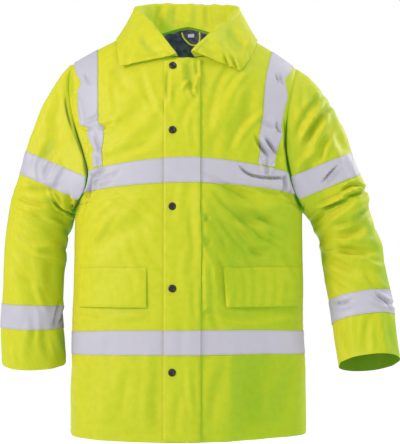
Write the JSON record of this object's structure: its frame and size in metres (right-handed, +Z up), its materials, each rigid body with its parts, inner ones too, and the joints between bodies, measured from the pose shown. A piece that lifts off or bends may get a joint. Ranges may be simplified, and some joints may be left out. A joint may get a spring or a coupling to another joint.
{
  "type": "hi-vis work jacket",
  "caption": "Hip-length high-visibility work jacket, fluorescent yellow with silver reflective bands and braces, fall collar, snapped storm flap and pocket flaps, filled out with no wearer.",
  "frame": {"origin": "inside the neck opening, level with the neck seam at the back and on the centre line, where the wearer's shoulders and neck carry the jacket", "axes": "+Z up, the jacket's front faces -Y, +X to the wearer's left"},
  "size_m": [0.8532, 0.3016, 0.9492],
  "materials": {
    "fluorescent_yellow_shell": "coated polyester oxford, matt",
    "silver_reflective_tape": "glass-bead retroreflective tape, silver grey",
    "navy_lining": "smooth woven polyester lining",
    "black_snap_cap": "black enamelled cap"
  },
  "bodies": {
    "root": {"front_right": "fluorescent_yellow_shell", "front_left": "fluorescent_yellow_shell", "back": "fluorescent_yellow_shell", "sleeve_right": "fluorescent_yellow_shell", "sleeve_left": "fluorescent_yellow_shell", "collar": "fluorescent_yellow_shell", "storm_flap": "fluorescent_yellow_shell", "pocket_flap_right": "fluorescent_yellow_shell", "pocket_flap_left": "fluorescent_yellow_shell", "hanger_loop": "fluorescent_yellow_shell", "tape_arm_right": "silver_reflective_tape", "tape_arm_left": "silver_reflective_tape", "tape_wrist_right": "silver_reflective_tape", "tape_wrist_left": "silver_reflective_tape", "tape_chest_front_right": "silver_reflective_tape", "tape_chest_front_left": "silver_reflective_tape", "tape_chest_back": "silver_reflective_tape", "tape_chest_flap": "silver_reflective_tape", "tape_hip_front_right": "silver_reflective_tape", "tape_hip_front_left": "silver_reflective_tape", "tape_hip_back": "silver_reflective_tape", "tape_hip_flap": "silver_reflective_tape", "tape_brace_right": "silver_reflective_tape", "tape_brace_left": "silver_reflective_tape", "lining_back": "navy_lining", "snap_1": "black_snap_cap", "snap_2": "black_snap_cap", "snap_3": "black_snap_cap", "snap_4": "black_snap_cap", "snap_5": "black_snap_cap"}
  },
  "joints": []
}
